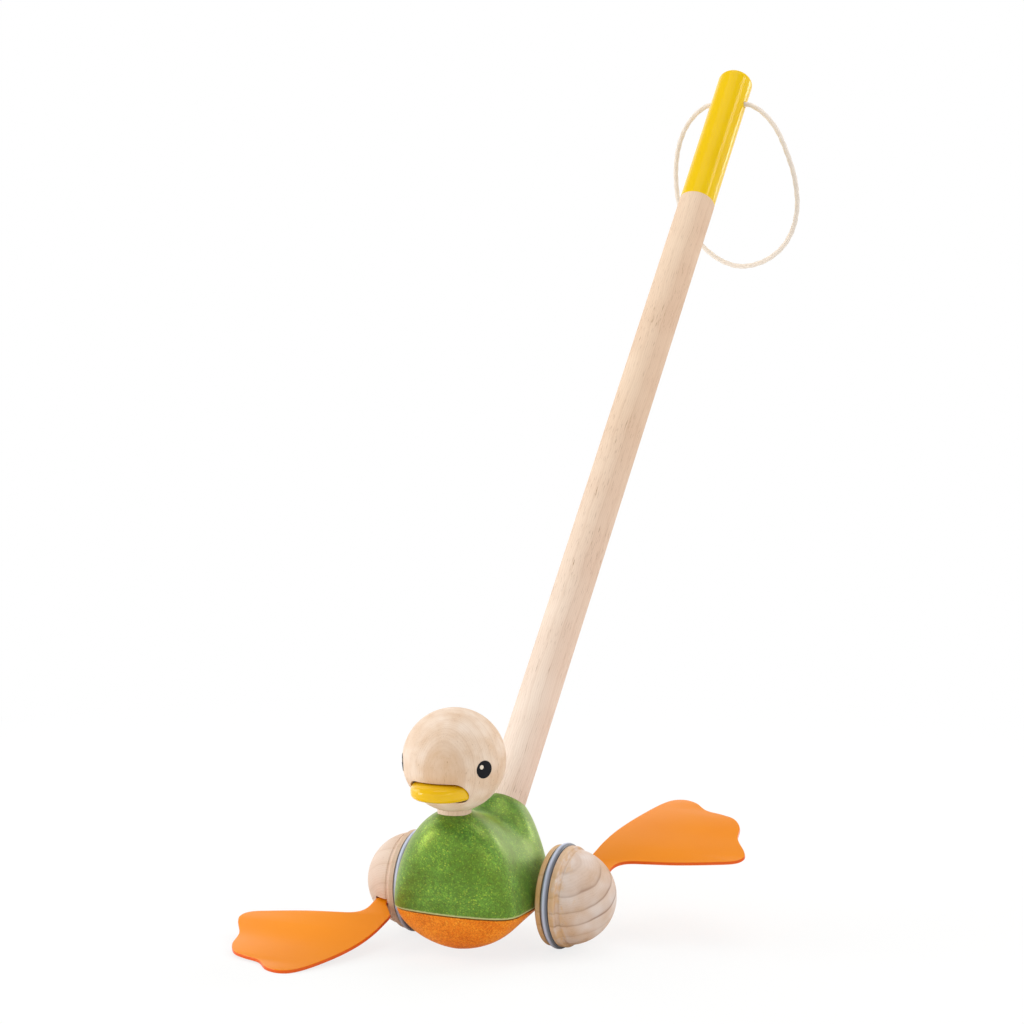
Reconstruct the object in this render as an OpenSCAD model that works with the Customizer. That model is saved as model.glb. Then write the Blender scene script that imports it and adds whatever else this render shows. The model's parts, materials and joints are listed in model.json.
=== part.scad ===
// Duck push toy: a wooden duck on two domed wheels with flapping rubber feet, pushed by a long stick.
// Origin on the floor under the middle of the axle. The duck faces -Y, its own left is +X, up is +Z.

/* [Wheels] */
// Outer diameter of the tyre rings, which sets the axle height
tyre_d = 55; // [50:0.5:62]
// Thickness of a tyre ring's round section
tyre_section_d = 3.8; // [3:0.1:4.6]
// How far a tyre stands proud of the wooden rim
tyre_proud = 1.3; // [0.8:0.1:1.8]
// Rim width from the tyre's middle to the wheel's flat inner face
rim_inner = 5.4; // [4.5:0.1:7]
// Rim width from the tyre's middle to the outer shoulder
rim_outer = 5.6; // [4.5:0.1:7]
// Rounding of the rim's edges
rim_round = 1.2; // [0.6:0.1:1.8]
// Step from the rim's radius down to the dome's radius
dome_step = 1.2; // [0.8:0.1:2.5]
// Distance of the dome's centre outside the tyre's middle
dome_shift = 2.5; // [0:0.1:5]
// Radius of the turned cove between shoulder and dome
cove_r = 1.5; // [0.8:0.1:2]
// How much wider than the tyre its groove is, on each side
groove_ease = 0.4; // [0.2:0.1:0.6]
// Gap between the body's side and a wheel's inner face
wheel_gap = 1.8; // [1.2:0.1:4]

/* [Axle] */
// Diameter of the steel axle
axle_d = 5; // [4:0.5:7]
// Depth of the axle's blind hole in each wheel
axle_in_wheel = 18; // [12:1:22]
// Diameter of the washers beside the wheels
washer_d = 16; // [12:1:22]
// Free play between a washer and the body
washer_play = 0.4; // [0.3:0.1:0.6]

/* [Feet] */
// Thickness of the rubber feet
foot_t = 2; // [1.5:0.1:3]
// Length of a foot from the wheel's rim to its longest lobe
foot_l = 81; // [60:1:90]
// Width of a foot across its lobes, along the axle
foot_w = 81; // [60:1:90]
// Radius of the bend in the foot that points forward and touches the floor
foot_curl_r = 260; // [200:10:300]
// Radius of the slight sag in the other foot, which is free
foot_sag_r = 900; // [500:50:1500]
// Slope below level of the foot that points forward, where it leaves the wheel
foot_slope = 21; // [5:0.5:21]
// How much flatter the other foot is set
foot_ease = 1.5; // [0:0.5:5]
// Distance of the foot slot's floor from the axle's centre
slot_floor = 10; // [8:0.5:14]
// How far the foot slot opens on each side at the rim, where the foot flexes
slot_mouth = 2; // [0.8:0.1:2.4]
// Depth of that flared mouth below the rim
mouth_depth = 10; // [5:0.5:12]
// Wood left between the tyre's groove and the foot slot
slot_wall = 4.9; // [4:0.1:6]

/* [Body] */
// Width of the body between the wheels
body_w = 70; // [64:1:80]
// Height of the belly above the floor
belly_gap = 4.5; // [2:0.5:6]
// Drop of the seam between upper body and belly below the axle
seam_drop = 3; // [3:0.5:7]
// How far the belly's edge stands back from the upper body at the seam
seam_inset = 0.5; // [0.2:0.1:1]
// Reach of the breast in front of the axle
breast_y = 60; // [56:1:66]
// Height of the breast's foremost point
breast_z = 53; // [48:1:57]
// Height of the shoulders under the neck
shoulder_z = 77.5; // [73:0.5:82]
// Height of the saddle between shoulders and rump
saddle_z = 69.5; // [66:0.5:74]
// Height of the rump in front of the stick
rump_z = 76; // [73:1:82]
// Reach of the tail behind the axle
tail_y = 46; // [43:1:54]
// Height of the tail's hindmost point
tail_z = 40; // [37:1:46]
// Diameter of the dowels that join belly and upper body
join_d = 8; // [6:0.5:10]
// Depth of a joining dowel above the seam
join_depth = 10; // [6:0.5:12]

/* [Head] */
// Diameter of the head ball
head_d = 53; // [48:0.5:60]
// Diameter of the neck dowel
neck_d = 17.4; // [14:0.2:20]
// Distance of the neck's axis behind the breast's foremost point
neck_back = 17; // [14:0.5:19]
// Height of the head's centre above the shoulders
head_lift = 26; // [25:0.5:32]
// Depth of the neck dowel in the body
neck_sink = 20; // [14:1:24]
// Height of the neck dowel's top below the head's centre
neck_drop = 3.5; // [2:0.5:6]

/* [Beak] */
// Width of the beak
beak_w = 31.5; // [24:0.5:34]
// Height of the beak
beak_h = 10.2; // [7:0.2:12]
// Reach of the beak's tip beyond the head ball's front
beak_out = 5.5; // [3:0.5:9]
// Drop of the beak's middle line below the head's centre, as a share of the head's diameter
beak_low = 0.25; // [0.22:0.01:0.28]
// Wood left between the beak's slot and the neck dowel
beak_wall = 1.8; // [1:0.2:3]
// Gap round the beak in its slot
beak_gap = 0.25; // [0.2:0.05:0.5]

/* [Stick] */
// Diameter of the push stick
rod_d = 22; // [18:0.5:24]
// Lean of the stick back from upright, in degrees
rod_lean = 41.2; // [36:0.2:46]
// Distance behind the axle where the stick's axis passes the rump's height
rod_y = 23; // [20:0.5:26]
// Depth of the stick in the body below that point
rod_sink = 41; // [34:1:43]
// Length of the stick beyond that point
rod_out = 525; // [400:5:650]
// Rounding of the stick's top end
rod_round = 5; // [2:0.5:8]
// Distance of the cord hole from the stick's top end
hole_down = 23; // [18:1:40]

/* [Cord] */
// Diameter of the cotton cord
cord_d = 3; // [2:0.2:3.4]
// Gap round the cord in its hole
cord_gap = 0.5; // [0.4:0.1:0.8]

/* [Fits] */
// Radial gap of a glued joint
glue_gap = 0.05; // [0.02:0.01:0.1]
// Radial gap of the axle in the body
run_gap = 0.08; // [0.04:0.01:0.1]
// Gap on each side of a foot in its slot
slot_gap = 0.1; // [0.05:0.05:0.2]

/* [Hidden] */
$fn = 96;

green = [0.42, 0.62, 0.12];
orange = [0.95, 0.49, 0.12];
wood = [0.9, 0.8, 0.68];
yellow = [0.95, 0.8, 0.05];
grey = [0.62, 0.65, 0.7];
steel = [0.7, 0.7, 0.72];
cotton = [0.93, 0.88, 0.8];

// Heights and places that follow from the sizes above
axle_z = tyre_d / 2;
seam_z = axle_z - seam_drop;
half_w = body_w / 2;
rim_r = tyre_d / 2 - tyre_proud;
tyre_r = (tyre_d - tyre_section_d) / 2;
dome_r = rim_r - dome_step;
wheel_x = half_w + wheel_gap + rim_inner;
hub_x = half_w + wheel_gap;
neck_y = neck_back - breast_y;
head_z = shoulder_z + head_lift;
neck_top = head_z - neck_drop;
beak_drop = beak_low * head_d;
beak_root = neck_d / 2 + beak_wall;
beak_reach = head_d / 2 + beak_out;
neck_foot = shoulder_z - neck_sink;
rod_l = rod_sink + rod_out;
hole_s = rod_out - hole_down;
cord_hole = [0, rod_y + hole_s * sin(rod_lean), rump_z + hole_s * cos(rod_lean)];
big = 400;

// A point of the smooth curve through four neighbouring rows, from the second row to the third
function curve(p0, p1, p2, p3, t) =
    0.5 * (2 * p1 + (p2 - p0) * t + (2 * p0 - 5 * p1 + 4 * p2 - p3) * t * t
    + (3 * p1 - p0 - 3 * p2 + p3) * t * t * t);
// A closed smooth outline through a list of points
function closed_curve(pts, steps) = let(n = len(pts))
    [for (i = [0:n - 1]) for (k = [0:steps - 1])
        curve(pts[(i + n - 1) % n], pts[i], pts[(i + 1) % n], pts[(i + 2) % n], k / steps)];
// An open smooth line through a list of points
function open_curve(pts, steps) = let(n = len(pts))
    [for (i = [0:n - 2]) for (k = [0:(i == n - 2 ? steps : steps - 1)])
        curve(pts[max(i - 1, 0)], pts[i], pts[i + 1], pts[min(i + 2, n - 1)], k / steps)];
function power(v, e) = sign(v) * pow(abs(v), e);

// Triangles of a skin over rings of equal length
function skin(rings, sides) =
    [for (r = [0:rings - 2]) for (i = [0:sides - 1]) for (half = [0, 1])
        let(a = r * sides + i, b = r * sides + (i + 1) % sides)
        half == 0 ? [a, b, a + sides] : [b, b + sides, a + sides]];
function fan(tip, first, sides, turn) =
    [for (i = [0:sides - 1]) let(a = first + i, b = first + (i + 1) % sides) turn ? [tip, a, b] : [tip, b, a]];

// Heights of the body as shares of the way from one of its levels to the next
function belly_at(t) = belly_gap + t * (seam_z - belly_gap);
function breast_at(t) = seam_z + t * (breast_z - seam_z);
function shoulder_at(t) = breast_z + t * (shoulder_z - breast_z);
function tail_at(t) = seam_z + t * (tail_z - seam_z);
function rump_at(t) = tail_z + t * (rump_z - tail_z);

// Body stations from breast to tail: place along Y, lowest, widest and highest height, half width
body_rows = [
    [-breast_y, breast_z, breast_z, breast_z, 0],
    [-0.97 * breast_y, breast_at(0.56), breast_at(0.864), shoulder_at(0.61), 0.43 * half_w],
    [-0.883 * breast_y, belly_at(0.92), breast_at(0.322), shoulder_at(0.935), 0.771 * half_w],
    [-0.767 * breast_y, belly_at(0.16), breast_at(0.07), shoulder_at(1.04), 0.954 * half_w],
    [-0.667 * breast_y, belly_gap, breast_at(0.034), shoulder_at(1.05), half_w],
    [-0.467 * breast_y, belly_at(0.25), seam_z, shoulder_at(0.91), half_w],
    [-0.167 * breast_y, belly_at(0.59), seam_z, saddle_z, 0.989 * half_w],
    [0.13 * tail_y, belly_at(0.76), seam_z, rump_at(1.008), 0.914 * half_w],
    [0.478 * tail_y, belly_at(0.87), tail_at(0.12), rump_at(0.945), 0.637 * half_w],
    [0.783 * tail_y, belly_at(0.97), tail_at(0.485), rump_at(0.528), 0.414 * half_w],
    [0.957 * tail_y, tail_at(0.455), tail_at(0.94), rump_at(0.278), 0.229 * half_w],
    [tail_y, tail_z, tail_z, tail_z, 0]];
body_sides = 44;
body_steps = 4;
// Fullness of a section above and below its widest height: 2 is an ellipse, less is slimmer
back_full = 1.85;
belly_full = 1.8;
// The row past a pointed end, mirrored, so that the end closes round
function past_end(tip, next) = [next[0], next[3], 2 * tip[2] - next[2], next[1], -next[4]];
function body_row(i) = let(n = len(body_rows))
    i < 0 ? past_end(body_rows[0], body_rows[1])
    : i >= n ? past_end(body_rows[n - 1], body_rows[n - 2]) : body_rows[i];
function body_ring(row) =
    [for (i = [0:body_sides - 1]) let(
        a = 360 * i / body_sides,
        bend = 2 / (sin(a) > 0 ? back_full : belly_full),
        s = power(sin(a), bend))
        [row[4] * power(cos(a), bend), row[0], row[2] + s * (s > 0 ? row[3] - row[2] : row[2] - row[1])]];

// The whole body before it is parted at the seam
module body_form() {
    spans = len(body_rows) - 1;
    rows = [for (k = [1:spans * body_steps - 1]) let(i = floor(k / body_steps), t = k / body_steps - i)
        curve(body_row(i - 1), body_row(i), body_row(i + 1), body_row(i + 2), t)];
    rings = [for (row = rows) each body_ring(row)];
    count = len(rows);
    tip = len(rings);
    points = concat(rings, [[0, -breast_y, breast_z], [0, tail_y, tail_z]]);
    faces = concat(skin(count, body_sides), fan(tip, 0, body_sides, false),
        fan(tip + 1, (count - 1) * body_sides, body_sides, true));
    polyhedron(points, faces, convexity = 6);
}

// Along the stick's axis, with the rump's height as zero
module on_rod() {
    translate([0, rod_y, rump_z]) rotate([-rod_lean, 0, 0]) children();
}

// Joining dowels under the neck and in front of the axle's bore, their lower ends well inside the belly
join_share = 0.28;
join_down = join_share * (seam_z - belly_gap);
join_clear = 7;
join_y = [-0.63 * breast_y, -axle_d / 2 - join_d / 2 - join_clear];

module join_rods(d) {
    for (y = join_y) translate([0, y, seam_z - join_down]) cylinder(d = d, h = join_down + join_depth);
}

// The axle's bore; a thick axle under a high seam reaches into the belly too
module axle_bore() {
    translate([-big / 2, 0, axle_z]) rotate([0, 90, 0]) cylinder(d = axle_d + 2 * run_gap, h = big);
}

module body_upper() {
    color(green) difference() {
        intersection() {
            body_form();
            translate([-big / 2, -big / 2, seam_z]) cube(big);
        }
        axle_bore();
        translate([0, neck_y, neck_foot]) cylinder(d = neck_d + 2 * glue_gap, h = big);
        on_rod() translate([0, 0, -rod_sink]) cylinder(d = rod_d + 2 * glue_gap, h = big);
        join_rods(join_d + 2 * glue_gap);
    }
}

module body_lower() {
    color(orange) difference() {
        intersection() {
            scale([1 - seam_inset / half_w, 1 - seam_inset / breast_y, 1]) body_form();
            translate([-big / 2, -big / 2, seam_z - big]) cube(big);
        }
        axle_bore();
        join_rods(join_d + 2 * glue_gap);
    }
}

module joining_dowels() {
    color(wood) join_rods(join_d);
}

module on_head() {
    translate([0, neck_y, head_z]) children();
}

// The beak's slot, a long hole with round ends
module beak_slot() {
    slot_h = beak_h + 2 * beak_gap;
    end_x = beak_w / 2 + beak_gap - slot_h / 2;
    translate([0, -beak_root, -beak_drop]) rotate([90, 0, 0]) {
        translate([-end_x, -slot_h / 2, 0]) cube([2 * end_x, slot_h, big]);
        for (x = [-end_x, end_x]) translate([x, 0, 0]) cylinder(d = slot_h, h = big);
    }
}

module head() {
    color(wood) on_head() difference() {
        sphere(d = head_d);
        translate([0, 0, -neck_drop - big]) cylinder(d = neck_d + 2 * glue_gap, h = big);
        beak_slot();
    }
}

// Beak sections from root to tip: nearly a long hole in the slot, then rounding to the tip
beak_sides = 40;
beak_rings = 14;
// Fullness of the beak seen from above, from the side and along it, at its root and at its tip
beak_plan = 2.2;
beak_side = 3;
root_full = 4;
tip_full = 2.4;
function beak_ring(t) = let(
    out = sin(90 * t),
    y = beak_root + (beak_reach - beak_root) * out,
    wide = beak_w / 2 * pow(1 - pow(out, beak_plan), 1 / beak_plan),
    tall = beak_h / 2 * pow(1 - pow(out, beak_side), 1 / beak_side),
    bend = 2 / (root_full + (tip_full - root_full) * out))
    [for (i = [0:beak_sides - 1]) let(a = 360 * i / beak_sides)
        [wide * power(cos(a), bend), -y, tall * power(sin(a), bend) - beak_drop]];

module beak() {
    rings = [for (k = [0:beak_rings - 1]) each beak_ring(k / beak_rings)];
    points = concat(rings, [[0, -beak_root, -beak_drop], [0, -beak_reach, -beak_drop]]);
    faces = concat(fan(len(rings), 0, beak_sides, true),
        [for (f = skin(beak_rings, beak_sides)) [f[0], f[2], f[1]]],
        fan(len(rings) + 1, (beak_rings - 1) * beak_sides, beak_sides, false));
    color(yellow) on_head() polyhedron(points, faces, convexity = 4);
}

module neck_dowel() {
    color(wood) translate([0, neck_y, neck_foot]) cylinder(d = neck_d, h = neck_top - neck_foot);
}

module handle_rod() {
    color(wood) difference() {
        on_rod() translate([0, 0, -rod_sink]) rotate_extrude() {
            square([rod_d / 2, rod_l - rod_round]);
            square([rod_d / 2 - rod_round, rod_l]);
            intersection() {
                translate([rod_d / 2 - rod_round, rod_l - rod_round]) circle(rod_round);
                square([rod_d / 2, rod_l]);
            }
        }
        translate(cord_hole) rotate([0, 90, 0]) cylinder(d = cord_d + 2 * cord_gap, h = 2 * rod_d, center = true);
    }
}

// The cord's loop from the middle of its hole, out on the left, down and back in on the right
cord_route = [[1, 0, 0], [7, 0, 0], [13, 0, 0], [19, 0, -2.5], [25, -0.5, -7], [30.5, -1, -13], [35.5, -1.5, -21],
    [40, -2, -31], [44, -2, -42], [46.5, -2, -54], [47, -2, -66], [44.5, -2, -78], [38.5, -1.5, -88.5],
    [29, -1, -96.5], [17.5, -0.5, -101], [6, 0, -101.5], [-5.5, 0.5, -97.5], [-15.5, 1, -90.5], [-24, 1.5, -81.5],
    [-30.5, 2, -70.5], [-34.5, 2, -59], [-36, 2, -47.5], [-36, 2, -36], [-34, 1.5, -25], [-30, 1, -15],
    [-24.5, 0.5, -7.5], [-18.5, 0, -2.5], [-13, 0, 0], [-7, 0, 0], [-1, 0, 0]];
cord_sides = 8;
cord_steps = 2;

module hang_cord() {
    line = open_curve(cord_route, cord_steps);
    last = len(line) - 1;
    rings = [for (i = [0:last]) let(
        ahead = line[min(i + 1, last)] - line[max(i - 1, 0)],
        along = ahead / norm(ahead),
        flat = cross(along, [0, 1, 0]),
        across = flat / norm(flat),
        up = cross(across, along))
        each [for (k = [0:cord_sides - 1]) let(a = 360 * (k + 0.5) / cord_sides)
            line[i] + cord_d / 2 * (cos(a) * across + sin(a) * up)]];
    count = last + 1;
    points = concat(rings, [line[0], line[last]]);
    faces = concat([for (f = skin(count, cord_sides)) [f[0], f[2], f[1]]],
        fan(len(rings), 0, cord_sides, true),
        fan(len(rings) + 1, last * cord_sides, cord_sides, false));
    color(cotton) translate(cord_hole) polyhedron(points, faces, convexity = 6);
}

// Along the axle from the middle of the body towards the duck's left
module on_axle() {
    translate([0, 0, axle_z]) rotate([0, 90, 0]) children();
}

module axle() {
    color(steel) on_axle() cylinder(d = axle_d, h = 2 * (hub_x + axle_in_wheel), center = true);
}

module washer() {
    on_axle() translate([0, 0, half_w + washer_play]) difference() {
        cylinder(d = washer_d, h = wheel_gap - washer_play);
        translate([0, 0, -1]) cylinder(d = axle_d + 2 * glue_gap, h = wheel_gap + 2);
    }
}

module washer_left() {
    color(steel) washer();
}

module washer_right() {
    color(steel) mirror([1, 0, 0]) washer();
}

// Height of the cove's centre above the shoulder, as a share of its radius
cove_lift = 0.9;

// Half section of a wheel, radius along X and distance from the tyre's middle along Y
module wheel_section() {
    difference() {
        union() {
            translate([0, -rim_inner]) square([rim_r - rim_round, rim_inner + rim_outer]);
            translate([0, rim_round - rim_inner]) square([rim_r, rim_inner + rim_outer - 2 * rim_round]);
            for (y = [rim_round - rim_inner, rim_outer - rim_round])
                translate([rim_r - rim_round, y]) circle(rim_round);
            intersection() {
                translate([0, dome_shift]) circle(dome_r);
                square(2 * dome_r);
            }
        }
        translate([tyre_r + groove_ease - glue_gap, 0]) circle(d = tyre_section_d + 2 * groove_ease);
        translate([rim_r - rim_round / 2, rim_outer + cove_lift * cove_r]) circle(cove_r);
    }
}

// A foot's own frame: X out along the axle, Y away from the axle, Z the side that it bends to
module right_foot_frame() {
    translate([0, 0, axle_z]) rotate([foot_slope, 0, 0]) rotate([0, 0, 180]) children();
}

module left_foot_frame() {
    translate([0, 0, axle_z]) rotate([foot_slope - foot_ease, 0, 0]) mirror([0, 0, 1]) children();
}

// The foot's tab in the wheel, from beside the tyre's groove to the side of the dome
tab_in = wheel_x + tyre_section_d / 2 + groove_ease + slot_wall + slot_gap;
tab_share = 0.095;
tab_w = tab_share * foot_w;
// Where the foot starts to bend, just outside the rim
bend_out = 1;
bend_start = rim_r + bend_out;

// The slot, tight round the tab and flared towards the rim
module foot_slot() {
    tight = foot_t / 2 + slot_gap;
    wide = tight + 2 * slot_mouth;
    flare_in = rim_r - mouth_depth;
    flare_out = rim_r + mouth_depth;
    translate([tab_in - slot_gap, 0, 0]) rotate([90, 0, 90]) linear_extrude(tab_w + 2 * slot_gap)
        polygon([[slot_floor, -tight], [flare_in, -tight], [flare_out, -wide],
            [flare_out, wide], [flare_in, tight], [slot_floor, tight]]);
}

module wheel() {
    difference() {
        on_axle() translate([0, 0, wheel_x]) rotate_extrude() wheel_section();
        on_axle() cylinder(d = axle_d + 2 * glue_gap, h = hub_x + axle_in_wheel);
    }
}

module wheel_left() {
    color(wood) difference() {
        wheel();
        left_foot_frame() foot_slot();
    }
}

module wheel_right() {
    color(wood) difference() {
        mirror([1, 0, 0]) wheel();
        right_foot_frame() foot_slot();
    }
}

module tyre() {
    on_axle() translate([0, 0, wheel_x]) rotate_extrude() translate([tyre_r, 0]) circle(d = tyre_section_d);
}

module tyre_left() {
    color(grey) tyre();
}

module tyre_right() {
    color(grey) mirror([1, 0, 0]) tyre();
}

// Webbed outline beyond the rim, as shares of the foot's width and length: outer edge, three lobes, inner edge
foot_points = [[0.175, -0.06], [0.185, -0.02], [0.19, 0.035], [0.2, 0.07], [0.222, 0.1], [0.26, 0.122],
    [0.31, 0.134], [0.375, 0.142],
    [0.59, 0.17], [0.824, 0.22], [0.956, 0.26], [1.0, 0.32], [0.976, 0.395], [0.883, 0.54], [0.844, 0.69],
    [0.77, 0.795], [0.673, 0.84], [0.541, 0.88], [0.429, 0.975], [0.312, 1.0], [0.218, 0.93], [0.114, 0.70],
    [0.047, 0.5], [0.016, 0.343], [0.005, 0.22], [0.0, 0.121],
    [0.013, 0.09], [0.05, 0.04], [0.09, -0.01], [0.1, -0.06]];
foot_steps = 5;
tab_root = 0.13 * foot_l;

// Outline of a foot with its tab, seen square to the slot
module foot_outline() {
    web = [for (p = closed_curve(foot_points, foot_steps)) [wheel_x + p[0] * foot_w, rim_r + p[1] * foot_l]];
    polygon(web);
    translate([tab_in, slot_floor]) square([tab_w, rim_r - slot_floor + tab_root]);
}

// Side view of the sheet: straight in the slot, then bending
module foot_sheet(curl_r) {
    translate([slot_floor, -foot_t / 2]) square([bend_start - slot_floor, foot_t]);
    intersection() {
        translate([bend_start, curl_r]) difference() {
            circle(curl_r + foot_t / 2, $fn = 720);
            circle(curl_r - foot_t / 2, $fn = 720);
        }
        translate([bend_start, -foot_t]) square([2 * foot_l, foot_l]);
    }
}

module foot(curl_r) {
    intersection() {
        translate([0, 0, -foot_t]) linear_extrude(foot_l) foot_outline();
        rotate([90, 0, 90]) linear_extrude(big) foot_sheet(curl_r);
    }
}

module foot_left() {
    color(orange) left_foot_frame() foot(foot_sag_r);
}

module foot_right() {
    color(orange) right_foot_frame() foot(foot_curl_r);
}

body_upper();
body_lower();
joining_dowels();
head();
beak();
neck_dowel();
handle_rod();
hang_cord();
axle();
washer_left();
washer_right();
wheel_left();
wheel_right();
tyre_left();
tyre_right();
foot_left();
foot_right();
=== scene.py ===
import json
import math
import bpy
from mathutils import Matrix, Vector

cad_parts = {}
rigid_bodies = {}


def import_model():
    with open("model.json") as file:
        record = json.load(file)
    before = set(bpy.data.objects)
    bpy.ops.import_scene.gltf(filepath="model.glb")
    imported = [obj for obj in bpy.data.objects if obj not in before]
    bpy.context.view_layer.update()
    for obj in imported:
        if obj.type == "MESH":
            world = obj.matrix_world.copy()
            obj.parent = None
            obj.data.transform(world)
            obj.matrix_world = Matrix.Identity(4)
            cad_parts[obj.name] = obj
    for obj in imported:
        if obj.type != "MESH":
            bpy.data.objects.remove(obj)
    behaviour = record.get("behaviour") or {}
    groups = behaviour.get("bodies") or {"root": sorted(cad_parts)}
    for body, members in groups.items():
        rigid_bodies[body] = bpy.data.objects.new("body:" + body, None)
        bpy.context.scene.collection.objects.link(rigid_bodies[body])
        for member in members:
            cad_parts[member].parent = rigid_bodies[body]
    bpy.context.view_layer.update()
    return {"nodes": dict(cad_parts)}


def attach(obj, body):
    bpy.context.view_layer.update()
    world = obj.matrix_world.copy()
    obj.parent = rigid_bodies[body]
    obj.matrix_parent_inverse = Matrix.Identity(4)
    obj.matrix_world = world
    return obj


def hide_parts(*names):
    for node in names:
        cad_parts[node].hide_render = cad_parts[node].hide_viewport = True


for spare in list(bpy.data.objects):
    bpy.data.objects.remove(spare)  # an empty room before the frame comes in

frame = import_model()
nodes = frame["nodes"]
print("frame loaded:", len(nodes), "nodes")


# small helpers; sizes in the dictionaries are in mm, angles in degrees

def metres(values):
    return tuple(v / 1000 for v in values)


def linear(hexText):
    channels = [int(hexText[i:i + 2], 16) / 255 for i in (1, 3, 5)]
    return tuple(c / 12.92 if c <= 0.04045 else ((c + 0.055) / 1.055) ** 2.4 for c in channels) + (1,)


def grey(level):
    return level, level, level, 1


def addNode(tree, kind, settings=None, links=None):
    made = tree.nodes.new("ShaderNode" + kind)
    for name, value in (settings or {}).items():
        if name == "stops":  # colour ramp: (place, colour) pairs
            while len(made.color_ramp.elements) < len(value):
                made.color_ramp.elements.new(0.5)
            for element, (place, colour) in zip(made.color_ramp.elements, value):
                element.position = place
                element.color = colour
        elif isinstance(name, str) and hasattr(made, name):
            setattr(made, name, value)
        else:
            made.inputs[name].default_value = value
    for name, source in (links or {}).items():
        tree.links.new(source, made.inputs[name])
    return made


def startMaterial(name, shine):
    material = bpy.data.materials.new(name)
    material.use_nodes = True
    tree = material.node_tree
    tree.nodes.clear()
    shader = addNode(tree, "BsdfPrincipled", shine)
    addNode(tree, "OutputMaterial", None, {"Surface": shader.outputs["BSDF"]})
    place = addNode(tree, "TexCoord").outputs["Object"]
    return material, tree, shader, place


def mottle(tree, where, tones):  # two close colours in soft clouds
    cloud = addNode(tree, "TexNoise", {"Scale": 1000 / tones["cloudMm"], "Detail": tones["cloudDetail"]},
                    {"Vector": where}).outputs["Fac"]
    colour = addNode(tree, "MixRGB", {"Color1": linear(tones["main"]), "Color2": linear(tones["other"])},
                     {"Fac": cloud}).outputs["Color"]
    return cloud, colour


def ringScale(gapMm):
    return 2 * math.pi / 20 / (gapMm / 1000)  # at scale 1 the wave texture has a line every 2 pi / 20


def onlySelect(piece):
    bpy.ops.object.select_all(action="DESELECT")
    piece.select_set(True)
    bpy.context.view_layer.objects.active = piece


def editWhole(piece):
    onlySelect(piece)
    bpy.ops.object.mode_set(mode="EDIT")
    bpy.ops.mesh.select_all(action="SELECT")


def faceOutwards(piece):
    editWhole(piece)
    bpy.ops.mesh.normals_make_consistent(inside=False)
    bpy.ops.object.mode_set(mode="OBJECT")


def applyModifier(piece, kind, settings):
    onlySelect(piece)
    added = piece.modifiers.new("shape", kind)
    for name, value in settings.items():
        setattr(added, name, value)
    bpy.ops.object.modifier_apply(modifier=added.name)


def smoothFaces(piece, degrees):
    onlySelect(piece)
    bpy.ops.object.shade_smooth_by_angle(angle=math.radians(degrees))


def meshPiece(name, points, faces):
    mesh = bpy.data.meshes.new(name)
    mesh.from_pydata(points, [], faces)
    piece = bpy.data.objects.new(name, mesh)
    bpy.context.scene.collection.objects.link(piece)
    return piece


def addBall(name, around, rings):
    bpy.ops.object.select_all(action="DESELECT")
    bpy.ops.mesh.primitive_uv_sphere_add(segments=around, ring_count=rings, radius=1)
    piece = bpy.context.object
    piece.name = piece.data.name = name
    return piece


def power(value, exponent):
    return math.copysign(abs(value) ** exponent, value)


def curvePoint(before, start, end, after, t):  # smooth curve through four neighbours
    return [0.5 * (2 * b + (c - a) * t + (2 * a - 5 * b + 4 * c - d) * t * t
                   + (3 * b - a - 3 * c + d) * t ** 3) for a, b, c, d in zip(before, start, end, after)]


def dress(piece, material, body):
    piece.data.materials.clear()
    piece.data.materials.append(material)
    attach(piece, body)


# places that several pieces share

toySet = {"axleZ": 27.5, "neckY": -43, "stickY": 23, "stickZ": 76, "stickLean": 41.2, "stickRadius": 11}


# camera at the photograph's angle

cameraSet = {"place": (565.82, -1195.59, 356.09), "pitch": 5.6213, "turn": 24.8393,
             "lens": 90.13, "sensor": 36}

bpy.ops.object.camera_add()
camera = bpy.context.object
camera.location = metres(cameraSet["place"])
camera.rotation_euler = (math.radians(90 - cameraSet["pitch"]), 0, math.radians(cameraSet["turn"]))
camera.data.sensor_width = cameraSet["sensor"]
camera.data.lens = cameraSet["lens"]
bpy.context.scene.camera = camera
print("camera set")


# hanging loop: twisted cotton cord through the cross hole of the stick

cordSet = {
    "hole": (0, 353.66, 453.71), "diameter": 3, "strands": 3, "strandGap": 7,
    "strandDepth": 0.13, "sides": 18, "step": 0.6, "smoothUnder": 60,
    # from one side of the hole round to the other, measured from the hole's middle
    "route": [(1, 0, 0), (7, 0, 0), (13, 0, 0), (19, 0, -2.5), (25, -0.5, -7), (30.5, -1, -13),
              (35.5, -1.5, -21), (40, -2, -31), (44, -2, -42), (46.5, -2, -54), (47, -2, -66),
              (44.5, -2, -78), (38.5, -1.5, -88.5), (29, -1, -96.5), (17.5, -0.5, -101), (6, 0, -101.5),
              (-5.5, 0.5, -97.5), (-15.5, 1, -90.5), (-24, 1.5, -81.5), (-30.5, 2, -70.5),
              (-34.5, 2, -59), (-36, 2, -47.5), (-36, 2, -36),
              (-34, 1.5, -25), (-30, 1, -15), (-24.5, 0.5, -7.5), (-18.5, 0, -2.5), (-13, 0, 0), (-7, 0, 0),
              (-1, 0, 0)],
}


def cordLine():
    route = cordSet["route"]
    line = []
    for i in range(len(route) - 1):
        ends = route[max(i - 1, 0)], route[i], route[i + 1], route[min(i + 2, len(route) - 1)]
        steps = max(2, round(math.dist(ends[1], ends[2]) / cordSet["step"]))
        line += [Vector(curvePoint(*ends, k / steps)) for k in range(steps)]
    return line + [Vector(route[-1])]


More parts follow.
